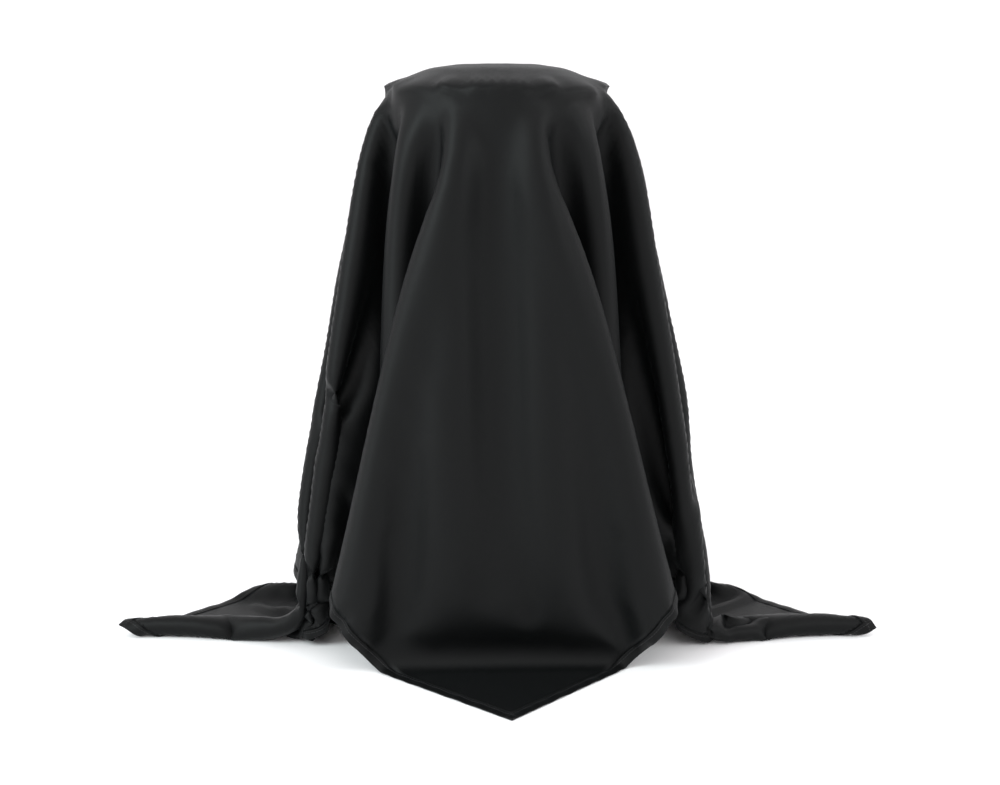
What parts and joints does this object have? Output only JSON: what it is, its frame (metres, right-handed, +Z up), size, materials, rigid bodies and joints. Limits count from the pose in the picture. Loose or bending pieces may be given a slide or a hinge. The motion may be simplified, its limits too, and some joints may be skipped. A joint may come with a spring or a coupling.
{
  "type": "barber cape",
  "caption": "Square satin barber cape draped over a round stand, one corner to the front, side corners spread as wings, neck opening with snap tabs behind.",
  "frame": {"origin": "centre of the outline's box, on the table the cape stands on", "axes": "+X along the two spread side corners, to the right of someone facing the front corner; +Y to the back; +Z up"},
  "size_m": [0.8826, 0.706, 0.6778],
  "materials": {
    "satin": "black polyester satin, soft sheen",
    "satin_hem": "the same satin turned twice and stitched",
    "thread": "black polyester sewing thread",
    "steel": "nickel-plated steel press snap"
  },
  "bodies": {
    "cape": {"satin_panel": "satin", "hem_front_right": "satin_hem", "hem_front_left": "satin_hem", "hem_back_right": "satin_hem", "hem_back_left_near_wing": "satin_hem", "hem_back_left_near_tail": "satin_hem", "neck_band": "satin_hem", "stitching_front_right": "thread", "stitching_front_left": "thread", "stitching_back_right": "thread", "stitching_back_left_near_wing": "thread", "stitching_back_left_near_tail": "thread", "stitching_neck_band": "thread"},
    "outer_tab": {"neck_tab_outer": "satin_hem", "stitching_neck_tab_outer": "thread", "snap_cap": "steel", "snap_stud": "steel"},
    "inner_tab": {"neck_tab_inner": "satin_hem", "stitching_neck_tab_inner": "thread", "snap_socket": "steel", "snap_socket_back": "steel", "snap_socket_wide_neck": "steel", "snap_socket_wide_neck_back": "steel"}
  },
  "joints": [
    {"name": "outer_tab_swing", "type": "hinge", "parent": "cape", "child": "outer_tab", "pos_m": [-0.25296, 0.05847, 0.04206], "axis": [0.0873, -0.1105, 0.99], "range_deg": [0, 100]},
    {"name": "inner_tab_swing", "type": "hinge", "parent": "cape", "child": "inner_tab", "pos_m": [-0.11144, 0.16452, 0.04141], "axis": [0.0873, -0.1105, 0.99], "range_deg": [0, 60]}
  ]
}
